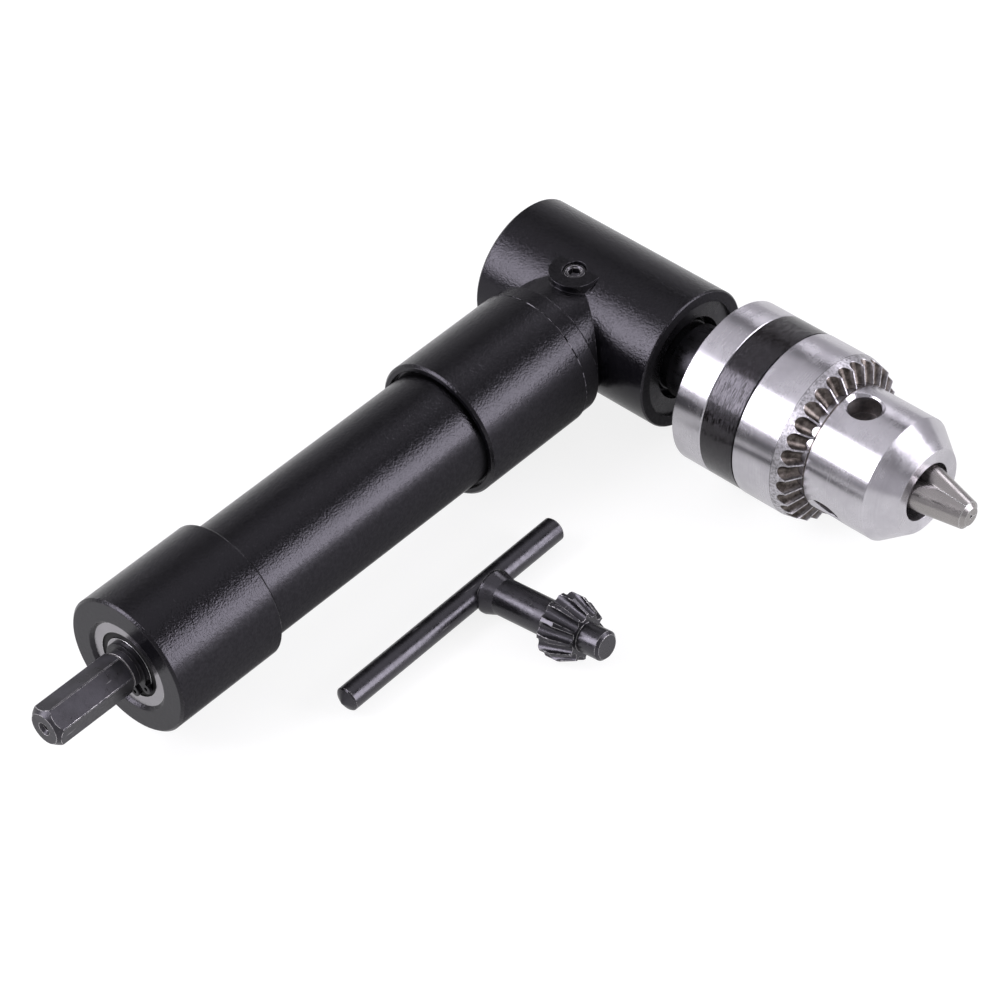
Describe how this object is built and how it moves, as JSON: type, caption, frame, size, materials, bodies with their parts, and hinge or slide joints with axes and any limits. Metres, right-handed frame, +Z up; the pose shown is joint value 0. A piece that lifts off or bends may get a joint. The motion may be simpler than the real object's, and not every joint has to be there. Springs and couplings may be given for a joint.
{
  "type": "right angle drill attachment",
  "caption": "Right angle drive with a hexagon shank, bevel gears in a barrel head, and a keyed chuck on the spindle, with its chuck key beside it.",
  "frame": {"origin": "bottom centre of the bounding box, on the surface that the part lies on", "axes": "+X along the drive shaft from the shank to the head, +Y along the spindle from the chuck to the closed end of the head, +Z up"},
  "size_m": [0.1756, 0.118, 0.036],
  "materials": {
    "black_paint": "gloss",
    "blackened_steel": "semi-gloss",
    "ground_steel": "satin",
    "ball_steel": "polished",
    "cage_brass": "satin",
    "seal_rubber": "matt",
    "gear_steel": "satin",
    "shank_steel": "satin",
    "chuck_steel": "turned satin",
    "jaw_steel": "satin"
  },
  "bodies": {
    "housing": {"rear_collar": "black_paint", "grip_tube": "black_paint", "front_collar": "black_paint", "head_housing": "black_paint", "grease_screw": "blackened_steel", "cover_plate": "blackened_steel", "rear_outer_race": "ground_steel", "rear_seal": "seal_rubber", "neck_outer_race": "ground_steel", "inner_spindle_outer_race": "ground_steel", "outer_spindle_outer_race": "ground_steel"},
    "drive": {"drive_shaft": "shank_steel", "drive_pinion": "gear_steel", "pinion_feather": "gear_steel", "shaft_snap_ring": "blackened_steel", "rear_inner_race": "ground_steel", "neck_inner_race": "ground_steel"},
    "output": {"spindle": "blackened_steel", "spindle_gear": "gear_steel", "gear_feather": "gear_steel", "spindle_snap_ring": "blackened_steel", "inner_spindle_inner_race": "ground_steel", "outer_spindle_inner_race": "ground_steel", "chuck_body": "chuck_steel", "black_band": "blackened_steel", "chuck_screw": "blackened_steel"},
    "rear_cage_set": {"rear_cage": "cage_brass", "rear_balls": "ball_steel"},
    "neck_cage_set": {"neck_cage": "cage_brass", "neck_balls": "ball_steel"},
    "inner_spindle_cage_set": {"inner_spindle_cage": "cage_brass", "inner_spindle_balls": "ball_steel"},
    "outer_spindle_cage_set": {"outer_spindle_cage": "cage_brass", "outer_spindle_balls": "ball_steel"},
    "sleeve": {"gear_sleeve": "chuck_steel", "nut_half_upper": "chuck_steel", "nut_half_lower": "chuck_steel"},
    "jaw_a": {"jaw_one": "jaw_steel"},
    "jaw_b": {"jaw_two": "jaw_steel"},
    "jaw_c": {"jaw_three": "jaw_steel"},
    "key": {"key_shank": "blackened_steel", "key_bar": "blackened_steel"}
  },
  "joints": [
    {"name": "spindle_turn", "type": "hinge", "parent": "housing", "child": "output", "pos_m": [0.06975, 0.03807, 0.018], "axis": [0, 1, 0], "continuous": true},
    {"name": "drive_turn", "type": "hinge", "parent": "housing", "child": "drive", "pos_m": [0.06975, 0.03807, 0.018], "axis": [1, 0, 0], "continuous": true},
    {"name": "rear_cage_turn", "type": "hinge", "parent": "housing", "child": "rear_cage_set", "pos_m": [0.06975, 0.03807, 0.018], "axis": [1, 0, 0], "continuous": true},
    {"name": "neck_cage_turn", "type": "hinge", "parent": "housing", "child": "neck_cage_set", "pos_m": [0.06975, 0.03807, 0.018], "axis": [1, 0, 0], "continuous": true},
    {"name": "inner_spindle_cage_turn", "type": "hinge", "parent": "housing", "child": "inner_spindle_cage_set", "pos_m": [0.06975, 0.03807, 0.018], "axis": [0, 1, 0], "continuous": true},
    {"name": "outer_spindle_cage_turn", "type": "hinge", "parent": "housing", "child": "outer_spindle_cage_set", "pos_m": [0.06975, 0.03807, 0.018], "axis": [0, 1, 0], "continuous": true},
    {"name": "sleeve_turn", "type": "hinge", "parent": "output", "child": "sleeve", "pos_m": [0.06975, 0.03807, 0.018], "axis": [0, -1, 0], "range_deg": [0, 5372]},
    {"name": "jaw_a_slide", "type": "slide", "parent": "output", "child": "jaw_a", "axis": [-0.2409, 0.9684, 0.0646], "range_m": [0, 0.02003]},
    {"name": "jaw_b_slide", "type": "slide", "parent": "output", "child": "jaw_b", "axis": [0.1764, 0.9684, 0.1764], "range_m": [0, 0.02003]},
    {"name": "jaw_c_slide", "type": "slide", "parent": "output", "child": "jaw_c", "axis": [0.0646, 0.9684, -0.2409], "range_m": [0, 0.02003]},
    {"name": "key_lift", "type": "slide", "parent": "housing", "child": "key", "axis": [0, 0, 1], "range_m": [0, 0.05]}
  ],
  "couplings": [
    {"joint": "drive_turn", "follows": "spindle_turn", "ratio": 1},
    {"joint": "rear_cage_turn", "follows": "spindle_turn", "ratio": 0.3696},
    {"joint": "neck_cage_turn", "follows": "spindle_turn", "ratio": 0.3507},
    {"joint": "inner_spindle_cage_turn", "follows": "spindle_turn", "ratio": 0.3507},
    {"joint": "outer_spindle_cage_turn", "follows": "spindle_turn", "ratio": 0.3578},
    {"joint": "jaw_a_slide", "follows": "sleeve_turn", "m_per_rad": 0.00021365},
    {"joint": "jaw_b_slide", "follows": "sleeve_turn", "m_per_rad": 0.00021365},
    {"joint": "jaw_c_slide", "follows": "sleeve_turn", "m_per_rad": 0.00021365}
  ]
}
